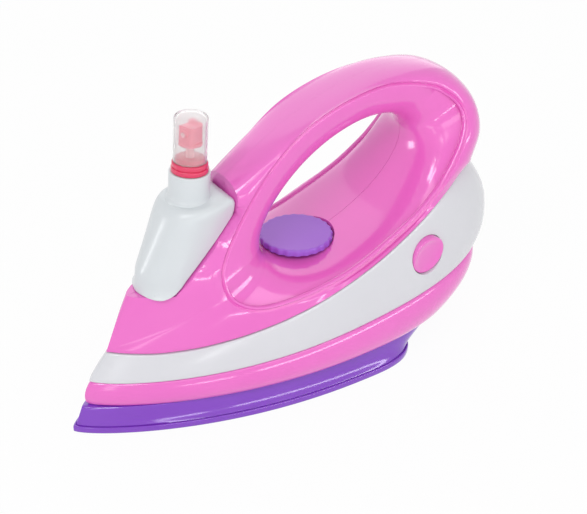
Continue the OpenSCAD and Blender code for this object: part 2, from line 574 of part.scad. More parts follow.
module spray_tank() color(white) difference() {
    union() {
        difference() {
            stack([tank_rim(0.4445, 0.5), tank_rim(0.4485, 0.1), tank_rim(0.4552, 0), tank_rim(0.5, 0),
                tank_rim(0.55, 0), tank_rim(0.6, 0), tank_rim(0.66, 0), tank_rim(0.695, 0), tank_rim(0.712, 0.4),
                tank_rim(0.721, 1.2), tank_rim(0.724, 2.4)]);
            stack([tank_rim(0.46, tank_wall), tank_rim(0.5, tank_wall), tank_rim(0.55, tank_wall),
                tank_rim(0.6, tank_wall), tank_rim(0.66, tank_wall), tank_rim(0.705, tank_wall * 1.2)]);
        }
        at_neck() rotate_extrude() polygon([[0, -neck_h - tank_wall * 0.6],
            [neck_d / 2 + tank_wall * 0.9, -neck_h - tank_wall * 0.6],
            [neck_d / 2 + tank_wall * 0.4, -neck_h + tank_wall * 0.1], [neck_d / 2, -neck_h + tank_wall * 0.7],
            [neck_d / 2, -lobe_d], [neck_d / 2 - lobe_d, 0], [0, 0]]);
    }
    at_neck() rotate_extrude() polygon([[0, -neck_h - 2 * tank_wall], [ledge_d / 2, -neck_h - 2 * tank_wall],
        [ledge_d / 2, -ledge], [neck_bore / 2, -ledge], [neck_bore / 2, over], [0, over]]);
}

// Pump, in the neck's own axis: z = 0 is the top of the neck
plug_r = neck_bore / 2 - fit * 1.5;
gasket_t = 0.08 * neck_h;
plug_low = -ledge + joint_gap + gasket_t + fit / 2;
shelf = plug_low + 0.12 * neck_h;
barrel_r = barrel_bore / 2 + 0.9 * flange_t / 1.2;
cap_in_r = cap_d / 2 - cap_wall;
spigot_r = cap_in_r - fit * 1.4;
ring_r = 1.11 * cap_d / 2;
cap_low = 0.4 * neck_h;
spigot_h = 0.57 * neck_h;
module pump_closure() color(red) at_neck() rotate_extrude() polygon([
    [barrel_r + fit, plug_low], [plug_r, plug_low], [plug_r, joint_gap], [ring_r * 0.98, joint_gap],
    [ring_r, 0.035 * neck_h], [ring_r, 0.155 * neck_h], [ring_r * 0.965, 0.185 * neck_h],
    [ring_r * 0.91, 0.19 * neck_h], [ring_r * 0.91, 0.215 * neck_h], [ring_r * 0.945, 0.225 * neck_h],
    [ring_r * 0.965, 0.25 * neck_h], [ring_r * 0.965, 0.35 * neck_h], [ring_r * 0.93, cap_low - 2 * joint_gap],
    [spigot_r, cap_low - 2 * joint_gap], [spigot_r, spigot_h - lobe_d / 2], [spigot_r - lobe_d / 2, spigot_h],
    [pump_stem_d / 2 + fit, spigot_h], [pump_stem_d / 2 + fit, spigot_h - flange_t],
    [barrel_r + 0.6 * flange_t, spigot_h - flange_t], [barrel_r + 0.6 * flange_t, shelf],
    [barrel_r + fit, shelf]]);
module neck_gasket() color([0.25, 0.25, 0.27]) at_neck() translate([0, 0, -ledge + joint_gap]) difference() {
    cylinder(r = plug_r - fit, h = gasket_t);
    translate([0, 0, -over]) cylinder(r = barrel_r + 2 * fit, h = gasket_t + 2 * over);
}
barrel_l = 1.4 * neck_h;
barrel_low = shelf + fit / 2 - barrel_l;
barrel_floor = 0.14 * neck_h;
ball_r = 0.185 * barrel_bore;
port_r = 0.6 * ball_r;
socket_h = 0.27 * neck_h;
module pump_barrel() color(white) at_neck() rotate_extrude() polygon([
    [port_r, barrel_low], [tube_d / 2 + fit / 2, barrel_low], [tube_d / 2 + fit / 2, barrel_low - socket_h],
    [tube_d / 2 + 0.8 * flange_t, barrel_low - socket_h], [tube_d / 2 + 0.8 * flange_t, barrel_low - lobe_d],
    [barrel_r - lobe_d, barrel_low - lobe_d], [barrel_r, barrel_low], [barrel_r, shelf + fit / 2],
    [barrel_r + 0.5 * flange_t, shelf + fit / 2], [barrel_r + 0.5 * flange_t, shelf + flange_t],
    [barrel_bore / 2, shelf + flange_t], [barrel_bore / 2, barrel_low + barrel_floor],
    [port_r, barrel_low + barrel_floor]]);
ball_z = barrel_low + barrel_floor + sqrt(ball_r * ball_r - port_r * port_r) + fit / 3;
module valve_ball() color(steel) at_neck() translate([0, 0, ball_z]) sphere(r = ball_r);
// The tube ends well above the tank's floor, clear of its sloping front
tube_end_share = 0.579;
tube_l = at_z(tank_top_share - tube_end_share) + neck_h + barrel_low;
module dip_tube() color(clear) at_neck() translate([0, 0, barrel_low - fit - tube_l]) difference() {
    cylinder(d = tube_d, h = tube_l);
    translate([0, 0, -over]) cylinder(d = tube_d * 0.58, h = tube_l + 2 * over);
}
head_z = 1.02 * neck_h;
piston_z = barrel_low + barrel_floor + 0.62 * neck_h;
piston_h = 0.26 * neck_h;
stem_top = head_z + 0.26 * neck_h;
channel_d = 0.32 * pump_stem_d;
module pump_piston() color(white) at_neck() rotate_extrude() polygon([
    [channel_d / 2, piston_z], [barrel_bore / 2 - fit, piston_z], [barrel_bore / 2 - fit, piston_z + piston_h],
    [pump_stem_d / 2, piston_z + piston_h], [pump_stem_d / 2, spigot_h - 2.4 * flange_t],
    [barrel_r * 0.75, spigot_h - 2.4 * flange_t], [barrel_r * 0.75, spigot_h - flange_t - 2 * joint_gap],
    [pump_stem_d / 2, spigot_h - flange_t - 2 * joint_gap], [pump_stem_d / 2, stem_top],
    [channel_d / 2, stem_top]]);
module pump_spring() color(steel) at_neck() translate([0, 0, barrel_low + barrel_floor + fit / 2])
    coil(barrel_bore * 0.42, 0.05 * barrel_bore, piston_z - barrel_low - barrel_floor - fit, 4, 11);
head_h = 0.78 * neck_h;
head_w = 0.585 * 2 * cap_in_r;
head_x = 0.7 * 2 * cap_in_r;
nozzle_d = 0.28 * 2 * cap_in_r;
nozzle_z = head_z + 0.47 * neck_h;
module spray_actuator() color(red) at_neck() difference() {
    union() {
        translate([0, 0, head_z]) cylinder(r = cap_in_r * 0.8, h = flange_t);
        hull() for (x = [-1, 1], y = [-1, 1])
            translate([x * (head_x - nozzle_d) / 2, y * (head_w - nozzle_d) / 2, head_z])
                cylinder(d = nozzle_d, h = head_h, $fn = 32);
        translate([0, 0, nozzle_z]) rotate([0, -90, 0]) cylinder(d = nozzle_d, h = cap_in_r * 0.9);
    }
    translate([0, 0, head_z - over]) cylinder(d = pump_stem_d, h = over + stem_top - head_z);
    translate([0, 0, head_z]) cylinder(d = channel_d, h = nozzle_z - head_z);
    translate([0, 0, nozzle_z]) rotate([0, -90, 0]) cylinder(d = channel_d, h = cap_in_r);
    translate([-cap_in_r * 0.9 + insert_l, 0, nozzle_z]) rotate([0, -90, 0])
        cylinder(d = insert_d, h = insert_l + over);
    translate([0, head_w, head_z + head_h + head_x * 0.85]) rotate([90, 0, 0]) cylinder(r = head_x, h = 2 * head_w);
}
insert_d = 0.62 * nozzle_d;
insert_l = 0.3 * cap_in_r;
module nozzle_insert() color(white) at_neck() translate([-cap_in_r * 0.9 + insert_l - fit / 2, 0, nozzle_z])
    rotate([0, -90, 0]) difference() {
        cylinder(d = insert_d, h = insert_l);
        translate([0, 0, -over]) cylinder(d = insert_d * 0.3, h = insert_l + 2 * over);
    }
module overcap() color(clear) at_neck() translate([0, 0, cap_low]) rotate_extrude() polygon([
    [cap_in_r, 0], [cap_d / 2, 0], [cap_d / 2, 0.9 * cap_h], [cap_d * 0.48, 0.945 * cap_h],
    [cap_d * 0.42, 0.975 * cap_h], [cap_d * 0.26, 0.994 * cap_h], [0, cap_h],
    [0, cap_h - cap_wall], [cap_in_r * 0.5, 0.994 * cap_h - cap_wall], [cap_in_r * 0.8, 0.975 * cap_h - cap_wall],
    [cap_in_r * 0.94, 0.94 * cap_h - cap_wall * 0.7], [cap_in_r, 0.9 * cap_h - cap_wall * 0.4]]);

sole_plate();
lower_casing();
middle_casing();
upper_shell_left();
upper_shell_right();
spray_tank();
pump_closure();
neck_gasket();
pump_barrel();
pump_piston();
pump_spring();
valve_ball();
dip_tube();
spray_actuator();
nozzle_insert();
overcap();
dial();
click_wheel();
dial_washer();
dial_screw();
click_leaf();
side_button_left();
side_button_right();
button_spring_left();
button_spring_right();
button_guide_left();
button_guide_right();
shell_screws();
casing_screws();
sole_screws();
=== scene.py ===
import math

import bmesh
import bpy
from mathutils import Matrix, Vector


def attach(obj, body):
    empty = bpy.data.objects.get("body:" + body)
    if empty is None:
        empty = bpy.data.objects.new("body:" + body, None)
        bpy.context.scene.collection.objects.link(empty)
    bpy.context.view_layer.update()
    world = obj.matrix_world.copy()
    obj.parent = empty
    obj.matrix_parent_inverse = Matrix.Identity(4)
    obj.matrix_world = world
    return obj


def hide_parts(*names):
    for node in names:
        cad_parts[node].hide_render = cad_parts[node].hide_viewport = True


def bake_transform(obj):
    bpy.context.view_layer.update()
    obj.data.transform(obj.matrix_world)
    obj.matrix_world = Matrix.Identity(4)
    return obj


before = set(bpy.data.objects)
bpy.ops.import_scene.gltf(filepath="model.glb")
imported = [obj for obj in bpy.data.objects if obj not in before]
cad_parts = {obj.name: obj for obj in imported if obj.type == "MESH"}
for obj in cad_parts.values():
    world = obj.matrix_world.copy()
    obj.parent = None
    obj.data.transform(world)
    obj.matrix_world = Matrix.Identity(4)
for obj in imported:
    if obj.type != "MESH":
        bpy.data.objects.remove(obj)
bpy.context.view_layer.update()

# Toy iron. Lengths are millimetres measured from the sole's nose tip along
# the iron, up from the table, and out from the middle plane; mesh() turns
# them into metres about the middle of the sole.
BODY_L, BODY_H, HALF_W = 199.0, 125.0, 36.0
SOLE_L = 151.0
MIDDLE = SOLE_L / 2
WALL = 2.2
GAP = 0.15
CROWN_GAP = 0.03
WIDEST = 0.578 * BODY_L
BOW_PART, BOW_POWER = 0.55, 0.78


# Reading tables and drawing outlines
def mix(a, b, s):
    return a + (b - a) * s


def between(x, table):
    """Straight-line reading of a table of (place, value)."""
    if x <= table[0][0]:
        return table[0][1]
    for (a, va), (b, vb) in zip(table, table[1:]):
        if x <= b:
            return mix(va, vb, (x - a) / (b - a))
    return table[-1][1]


EASE_REACH = 4.0
EASE_WEIGHTS = ((-3, 1), (-2, 2), (-1, 3), (0, 4), (1, 3), (2, 2), (3, 1))


def eased(x, table):
    """The same reading, rounded over the table's corners."""
    return sum(between(x + EASE_REACH * k / 3, table) * w for k, w in EASE_WEIGHTS) / 16


# Heights along the iron: sole to pink casing, pink to white, white to handle
LOW_LINE = [(6, 10.9), (59.7, 11.75), (109, 12.6), (135, 13.25), (155, 14.5), (171, 16.5),
            (185, 17.5)]
SKIRT_FROM, SKIRT_TO = 8.36, 185.07
SKIRT_NOSE, SKIRT_HEEL, SKIRT_POWER = 0.17, 0.296, 1.6
TOP_LINE = [(16.5, 32.4), (33, 32.3), (48, 33.9), (63, 36.6), (79, 40.25), (96, 45), (113, 51),
            (123.4, 55), (133, 59.25), (145, 64.6), (159, 70.75), (176, 77.4), (185, 78.75)]


def low_z(x):
    return eased(x, LOW_LINE)


def skirt_z(x):
    s = min(1, max(0, (x - SKIRT_FROM) / (SKIRT_TO - SKIRT_FROM)))
    return BODY_H * mix(SKIRT_NOSE, SKIRT_HEEL, s ** SKIRT_POWER)


def top_z(x):
    return eased(x, TOP_LINE)


def outline_point(t, nose, heel, half, power):
    """Half plan of a casing: t runs from the nose to the heel."""
    if t <= BOW_PART:
        x = mix(nose, WIDEST, t / BOW_PART)
        return x, half * math.sin(math.pi / 2 * (t / BOW_PART) ** BOW_POWER)
    q = math.pi / 2 * (t - BOW_PART) / (1 - BOW_PART)
    y = 0.0 if t >= 1 else half * math.cos(q) ** (2 / power)
    return mix(WIDEST, heel, math.sin(q) ** (2 / power)), y


def stations(count):
    """Places from nose to heel, closer together at the nose and the heel."""
    out = []
    for i in range(count + 1):
        s = i / count
        out.append(BOW_PART * (2 * s) ** 1.5 if s <= 0.5 else mix(BOW_PART, 1, (2 * s - 1)))
    return out


PLACES = stations(160)


def half_rim(nose, heel, half, power, z):
    """Half a rim, with its height read from the function z."""
    plan = (outline_point(t, nose, heel, half, power) for t in PLACES)
    return [(x, y, z(x)) for x, y in plan]


def mixed(a, b, s):
    return [tuple(mix(p, q, s) for p, q in zip(u, v)) for u, v in zip(a, b)]


def both_sides(half):
    return half + [(x, -y, z) for x, y, z in half[-2:0:-1]]


# Making meshes
def smooth(piece, angle):
    for face in piece.data.polygons:
        face.use_smooth = True
    piece.data.set_sharp_from_angle(angle=math.radians(angle))


def mesh(name, points, faces, angle=40):
    data = bpy.data.meshes.new(name)
    metres = [((x - MIDDLE) / 1000, y / 1000, z / 1000) for x, y, z in points]
    data.from_pydata(metres, [], faces)
    bm = bmesh.new()
    bm.from_mesh(data)
    bmesh.ops.remove_doubles(bm, verts=bm.verts, dist=1e-7)
    bmesh.ops.recalc_face_normals(bm, faces=bm.faces)
    bm.to_mesh(data)
    bm.free()
    piece = bpy.data.objects.new(name, data)
    bpy.context.scene.collection.objects.link(piece)
    smooth(piece, angle)
    return piece


def ring_faces(rows, n, closed=False):
    faces = []
    for r in range(rows if closed else rows - 1):
        a, b = r * n, (r + 1) % rows * n
        for i in range(n):
            j = (i + 1) % n
            faces.append((a + i, a + j, b + j, b + i))
    return faces


def strip_cap(start, n):
    """Closes a ring across the iron, from each place to its mirror place."""
    faces = [(start, start + 1, start + n - 1)]
    for i in range(1, n // 2 - 1):
        faces.append((start + i, start + i + 1, start + n - i - 1, start + n - i))
    faces.append((start + n // 2 - 1, start + n // 2, start + n // 2 + 1))
    return faces


def stack(name, rings, angle=40):
    """A filled piece from rims, one above the other."""
    n = len(rings[0])
    faces = ring_faces(len(rings), n) + strip_cap(0, n) + strip_cap((len(rings) - 1) * n, n)
    return mesh(name, [p for ring in rings for p in ring], faces, angle)


def loop(name, rings, angle=40):
    """A hollow piece from rings that close on the first one."""
    faces = ring_faces(len(rings), len(rings[0]), True)
    return mesh(name, [p for ring in rings for p in ring], faces, angle)


def cut(piece, cutter, angle=40, how="DIFFERENCE"):
    """Cuts, joins or keeps what both share, as how says, and throws the cutter away."""
    modifier = piece.modifiers.new("cut", "BOOLEAN")
    modifier.operation = how
    modifier.object = cutter
    modifier.solver = "EXACT"
    depsgraph = bpy.context.evaluated_depsgraph_get()
    data = bpy.data.meshes.new_from_object(piece.evaluated_get(depsgraph))
    piece.modifiers.clear()
    piece.data = data
    bpy.data.objects.remove(cutter)
    smooth(piece, angle)


def turned(name, profile, place=Matrix.Identity(4), steps=96, angle=40, lobes=None):
    """A round piece from a closed profile of (radius, height), set by a matrix in millimetres."""
    points, faces, n = [], [], len(profile)
    for k in range(steps):
        a = 2 * math.pi * k / steps
        for r, h in profile:
            rr = r + (lobes(a, r) if lobes else 0)
            points.append(tuple(place @ Vector((rr * math.cos(a), rr * math.sin(a), h))))
    for k in range(steps):
        a, b = k * n, (k + 1) % steps * n
        for i in range(n):
            j = (i + 1) % n
            if profile[i][0] or profile[j][0]:
                faces.append((a + i, b + i, b + j, a + j))
    return mesh(name, points, faces, angle)


def rod(r, low, high):
    """Profile of a plain round rod."""
    return [(0, low), (r, low), (r, high), (0, high)]


def prism(name, outline):
    """A side outline drawn right through the iron."""
    n = len(outline)
    faces = [tuple(range(n)), tuple(range(n, 2 * n))]
    faces += [(i, (i + 1) % n, n + (i + 1) % n, n + i) for i in range(n)]
    return mesh(name, [(x, y, z) for y in (-60, 60) for x, z in outline], faces)


# Sole: a flange, a narrow groove and a wall that flares out above them
FLANGE_NOSE, FLANGE_POWER = 0.5, 3.4
FLANGE = [(0.6, 0), (0.3, 0.08), (0.08, 0.3), (0, 0.6), (0, 2.3), (0.08, 2.62), (0.26, 2.82),
          (0.45, 2.86)]
GROOVE = [(-0.4, 2.86), (-0.22, 2.7), (-0.05, 2.55), (0.08, 2.6), (0.06, 2.86)]
FLARE = [(0, 0.9), (0.05, 1.12), (0.12, 1.56), (0.22, 2.12), (0.34, 2.58), (0.5, 2.92),
         (0.7, 3.12), (0.85, 3.24), (1, 3.3)]
WALL_FOOT, WALL_NOSE, WALL_TOP_NOSE, WALL_TOP_HEEL, WALL_TOP_POWER = 3.0, 0.9, 4.1, 164.3, 4
LEAN_UP_TO, LEAN = 0.55, 0.6


def level(z):
    return lambda x: z


def up_the_wall(s):
    return lambda x: mix(WALL_FOOT, low_z(x) - GAP, s)


def flange_rim(inset, z):
    return both_sides(half_rim(inset - FLANGE_NOSE, SOLE_L - inset, HALF_W - inset,
                               FLANGE_POWER, z))


def sole_wall_rim(inset, s, z):
    """The side wall at a share of its height, where it leans back at nose and heel."""
    out = between(s, FLARE)
    heel = LEAN * s / LEAN_UP_TO
    if s >= LEAN_UP_TO:
        heel = mix(LEAN, 1, (s - LEAN_UP_TO) / (1 - LEAN_UP_TO))
    return both_sides(half_rim(mix(WALL_NOSE, WALL_TOP_NOSE, s) + inset,
                               mix(SOLE_L - out, WALL_TOP_HEEL, heel) - inset,
                               HALF_W - out - inset, mix(FLANGE_POWER, WALL_TOP_POWER, heel), z))


def make_sole():
    rings = [flange_rim(inset, level(z)) for inset, z in FLANGE]
    rings += [sole_wall_rim(inset, 0, level(z)) for inset, z in GROOVE]
    rings += [sole_wall_rim(0, s, up_the_wall(s))
              for s in (0, 0.06, 0.14, 0.24, 0.36, 0.5, 0.66, 0.85, 0.95)]
    rings += [sole_wall_rim(0.1, 1, lambda x: low_z(x) - GAP - 0.2)]
    rings += [sole_wall_rim(inset, 1, up_the_wall(1)) for inset in (0.45, 4.6)]
    rings += [sole_wall_rim(3.2, 0.1, level(2.2))]
    return stack("sole_fine", rings)


# Casings: each rim's nose, heel, half width and roundness
PINK_LOW, PINK_TOP = (5.97, 184.7, HALF_W, 2.4), (8.36, 191.4, HALF_W, 2.6)
WHITE_LOW, WHITE_TOP = (7.96, 191.6, HALF_W, 2.6), (16.5, 185.1, 33.98, 2.2)
# The joint under the handle: how far the casing stays below top_z and the handle above it
UNDER_TOP, OVER_TOP = 0.22, 0.3
# Rings of a casing: share of its height, growth all round, more at the heel
PINK_RINGS = [
    (0, -WALL, 0), (0, -1.5, 0), (0.02, -0.95, 0.05), (0.06, -0.4, 0.15), (0.12, 0.1, 0.45),
    (0.2, 0.55, 0.95), (0.3, 0.95, 1.55), (0.4, 1.2, 2.0), (0.5, 1.3, 2.2), (0.6, 1.26, 2.2),
    (0.69, 1.1, 2.05), (0.77, 0.84, 1.85), (0.84, 0.52, 1.6), (0.9, 0.15, 1.25),
    (0.95, -0.27, 0.85), (0.982, -0.68, 0.45), (1, -1.15, 0.1), (1, -2.9, 0), (0.2, -WALL, 0)]
WHITE_WALL, WHITE_BULGE = 2.86, 9.5
WHITE_RINGS = [
    (0, -1.0, 0.1), (0.004, -0.55, 0.5), (0.02, -0.2, 1.4), (0.045, 0.05, 2.5), (0.08, 0.22, 3.7),
    (0.13, 0.36, 5.2), (0.2, 0.46, 7.0), (0.28, 0.5, 8.2), (0.38, 0.5, 9.1),
    (0.5, 0.5, WHITE_BULGE), (0.6, 0.44, 8.9), (0.7, 0.34, 7.5), (0.79, 0.24, 5.8),
    (0.87, 0.12, 3.8), (0.93, 0.02, 2.1), (0.97, -0.08, 0.9), (0.99, -0.2, 0.3), (1, -0.45, 0),
    (1, -WHITE_WALL, 0), (0.5, -WHITE_WALL, WHITE_BULGE), (0, -WHITE_WALL, 0)]


def casing_rim(rim, grow, heel, z):
    nose, back, half, power = rim
    return half_rim(nose - grow, back + grow + heel, half + grow, power, z)


def pink_rim(v, grow, heel):
    low = casing_rim(PINK_LOW, grow, heel, low_z)
    return both_sides(mixed(
        low, casing_rim(PINK_TOP, grow, heel, lambda x: skirt_z(x) - GAP / 2), v))


def white_rim(v, grow, heel):
    low = casing_rim(WHITE_LOW, grow, heel, lambda x: skirt_z(x) + GAP / 2)
    return both_sides(mixed(
        low, casing_rim(WHITE_TOP, grow, heel, lambda x: top_z(x) - UNDER_TOP), v))


def make_lower_casing():
    return stack("lower_casing_fine", [pink_rim(*ring) for ring in PINK_RINGS])


BUTTON_R, BUTTON_GAP = 8.4, 0.24
BUTTON_AT = (0.748 * BODY_L, -0.925 * HALF_W, 0.4 * BODY_H)
BUTTON_TURN, BUTTON_LEAN = 5, 94.5


def button_place(side):
    """Where a side button sits: its own +Z points out of the casing."""
    place = (Matrix.Translation(BUTTON_AT) @ Matrix.Rotation(math.radians(BUTTON_TURN), 4, "Z")
             @ Matrix.Rotation(math.radians(BUTTON_LEAN), 4, "X"))
    return place if side < 0 else Matrix.Scale(-1, 4, (0, 1, 0)) @ place


def make_middle_casing():
    casing = loop("middle_casing_fine", [white_rim(*ring) for ring in WHITE_RINGS])
    for side in (-1, 1):
        cut(casing, turned("hole", rod(BUTTON_R + BUTTON_GAP, -6, 6), button_place(side)))
    return casing


def make_button(side, name):
    """The dished button, with its collar behind the casing."""
    r = BUTTON_R
    profile = [(0, -5.2), (r + 0.7, -5.2), (r + 0.7, -4.0), (r, -3.9), (r, 0.25)]
    profile += [(r - 0.04, 0.5), (r - 0.18, 0.68), (r - 0.4, 0.79), (r - 0.7, 0.8),
                (r - 1.1, 0.77), (r - 1.5, 0.66), (r - 1.9, 0.5), (r - 2.6, 0.3),
                (r - 3.6, 0.12), (r - 5.2, -0.02), (r - 7, -0.06), (0, -0.07)]
    return turned(name, profile, button_place(side))


# Handle halves. Each row is one place on the line moulded round the
# opening: along, up, half width, roundness; then the crown's rows.
LINE_ROWS = [
    (61.4, 52.6, 21, 0), (65, 49, 24.5, 0), (72, 47.1, 27.7, 0), (83, 47.6, 30.2, 0),
    (98, 49.8, 31.6, 0), (118, 54.5, 31.2, 0), (143, 65.5, 29.7, 0.1), (157, 75, 28.4, 0.35),
    (163, 81, 27.4, 0.75), (167, 86, 26.6, 1), (171.7, 92.6, 25, 1), (175, 99.3, 22, 1),
    (174.8, 105.4, 18, 1), (169.3, 111.3, 15.5, 1), (160.8, 116.1, 13.5, 1), (142.5, 120, 12, 1),
    (124, 118.2, 12, 1), (106.2, 112.5, 12, 1), (93, 103.9, 12, 1), (82.2, 93.9, 12.5, 1),
    (72.7, 82.1, 13.5, 0.9), (65.6, 72.4, 15, 0.7), (61.2, 65, 16.7, 0.45), (60, 59, 18.4, 0.2)]
CROWN_ROWS = [
    (185.1, 79), (189.7, 91), (188.3, 101), (183.5, 109.8), (174.5, 117.6), (161.9, 122.2),
    (144.1, 123.4), (123.3, 119.7), (103.6, 112.6), (86.9, 103.9), (71.5, 94.7), (57.4, 84.8),
    (44.6, 74.4), (33.5, 64), (25.5, 52.5), (16.5, 32.4)]
LOW_ROWS, LOW_STEPS, HIGH_STEPS = 9, 12, 9
NOSE_INSET, HEEL_INSET = 2.7, 1.3
# The opening: centre along and up, reach to front, back, below and above, tilt
OPENING = (0.623 * BODY_L, 0.6376 * BODY_H, 43.5, 36.2, 18.4, 20.0, math.radians(27.3))


def spline(a, b, c, d, s):
    """The curve from b to c that also heeds the rows before and after."""
    return tuple((2 * q + (r - p) * s + (2 * p - 5 * q + 4 * r - t) * s * s
                  + (3 * q - p - 3 * r + t) * s ** 3) / 2 for p, q, r, t in zip(a, b, c, d))


def line_at(v):
    i = math.floor(v)
    n = len(LINE_ROWS)
    x, z, w, k = spline(*(LINE_ROWS[(i + d) % n] for d in (-1, 0, 1, 2)), v - i)
    return x, z, w, min(1, max(0, k))


def crown_at(v):
    last = len(CROWN_ROWS) - 1
    i = min(math.floor(v), last - 1)
    return spline(*(CROWN_ROWS[min(last, max(0, i + d))] for d in (-1, 0, 1, 2)), v - i)


def edge_at(v, inset):
    """The half's edge: on the white casing below, on the middle plane above."""
    if v < LOW_ROWS:
        nose, heel, half, power = WHITE_TOP
        x, y = outline_point(v / LOW_ROWS, nose + NOSE_INSET * inset, heel - HEEL_INSET * inset,
                             half - inset, power)
        return Vector((x, top_z(x) + OVER_TOP)), y
    x, z, _, _ = line_at(v)
    crown = Vector(crown_at(v - LOW_ROWS))
    return crown + (Vector((x, z)) - crown).normalized() * inset, 0.0


def seam_at(line, grow):
    """Where the scoop meets the middle plane, out from the opening's centre past the line."""
    cx, cz, front, back, low, high, tilt = OPENING
    d = line - Vector((cx, cz))
    u = (d.x * math.cos(tilt) + d.y * math.sin(tilt), d.y * math.cos(tilt) - d.x * math.sin(tilt))
    a, b = (front if u[0] < 0 else back), (low if u[1] < 0 else high)
    q = math.atan2(u[1] / b, u[0] / a)
    s = math.hypot(a * math.cos(q), b * math.sin(q)) / math.hypot(*u) + grow / d.length
    return Vector((cx, cz)) + d * s


# Tank: places along the iron and half widths, by height as a share of the iron's
TANK_FOOT, TANK_TOP = 0.4552, 0.724
TANK_FRONT = [(0.444, 31.0), (0.508, 32.6), (0.59, 37.49), (0.66, 41.4), (0.685, 42.9),
              (0.705, 44.3), (TANK_TOP, 45.6)]
TANK_BACK = [(0.4432, 37.8), (0.4475, 40.4), (0.4545, 42.6), (0.466, 44.9), (0.482, 47.4),
             (0.66, 71.6), (0.82, 71.6)]
TANK_WIDTH = [(0.444, 12.02), (0.508, 12.42), (0.59, 13.0), (0.684, 13.61), (TANK_TOP, 13.61)]
TANK_POWER = [(0.444, 1.7), (0.508, 1.8), (0.59, 1.95), (TANK_TOP, 2.25)]
TANK_BOW, TANK_CORNER = 12.0, 2.2
TAPER, TAPER_LENGTH, TAPER_POWER = 0.32, TANK_BOW * 1.4, 1.8


def tank_side(width, behind):
    """Half the tank's width at a distance behind its rounded front."""
    return width * (1 - TAPER * max(0, behind / TAPER_LENGTH) ** TAPER_POWER)


def tank_flank(z):
    """Half the tank's width at its back corner."""
    s = min(TANK_TOP, max(TANK_FOOT, z / BODY_H))
    behind = between(s, TANK_BACK) - between(s, TANK_FRONT) - TANK_BOW
    return tank_side(between(s, TANK_WIDTH), behind)


# Side outlines of the tank's bay in the halves, and of its lining
BAY = [(17.9, 55.4), (42.6, 55.4), (44, 56.9), (71.6, 82.5), (71.6, 102.5), (17.9, 102.5)]
POCKET = [(17.9, 53.2), (43.5, 53.2), (45.7, 55.4), (73.8, 81.5), (73.8, 102.5), (17.9, 102.5)]
BAY_SLOPE = (0.68, 0.733)
FLANK_GAP, FLANK_ROUND = 0.7, 5.0
ROUND_TO_X, ROUND_TO_Z = 80, 104


def behind_bay(x, z):
    """Distance behind the edge of the tank's bay."""
    (_, floor), (slope_x, slope_z), (back, _) = BAY[1:4]
    slope = BAY_SLOPE[0] * (x - slope_x) - BAY_SLOPE[1] * (z - slope_z)
    return max(x - back, slope, floor - z)


def round_to_tank(point, inset):
    """Round the half's flank down to the tank where the bay will be cut."""
    x, y, z = point
    flank = tank_flank(z) + FLANK_GAP - inset
    far = min(1, max(0, behind_bay(x, z) / FLANK_ROUND))
    if y <= flank or far >= 1 or x > ROUND_TO_X or z > ROUND_TO_Z:
        return point
    return x, flank + (y - flank) * math.sqrt(1 - (1 - far) ** 2), z


# The line across itself, as (toward the opening, down) on the crown and then
# where the scoop's lip is a round bead, and how much of a bead each row has
LIP = [(2.1, 0.02, 0.85, 2.7), (1.85, 0.01, 1.25, 2.3), (1.6, 0.01, 1.5, 1.75),
       (1.4, 0, 1.55, 1.15), (1.15, 0, 1.4, 0.62), (0.9, 0, 1.1, 0.24), (0.66, 0.1, 0.74, 0.11),
       (0.42, 0.5, 0.42, 0.45), (0, 0.85, 0, 0.85), (-0.42, 0.5, -0.42, 0.5),
       (-0.66, 0.1, -0.66, 0.1), (-0.95, 0, -0.95, 0)]
BEAD = [(0, 0.4), (1, 1), (11.5, 1), (14.5, 0), (23, 0), (24, 0.4)]
BEAD_IN, BEAD_DOWN, BEAD_UNDER = 0.5, 2.9, 2.6
LIP_OUT, LIP_SHARE = 0.9, 0.45
SKIN_UNDER, WALL_ACROSS = 0.6, WALL * 1.3
ROUND, FLAT = 2.3, 0.85
TUCK_FROM, TUCK_LENGTH, TUCK_DEPTH, TUCK_POWER = 0.93, 0.07, 0.6, 1.6
SCOOP_TURNS = (0, 6, 12, 20, 29, 38, 47, 56, 65, 73)
FLANK_STEPS = (0.16, 0.3, 0.45, 0.6, 0.74, 0.86, 0.93, 0.965, 0.985, 1)


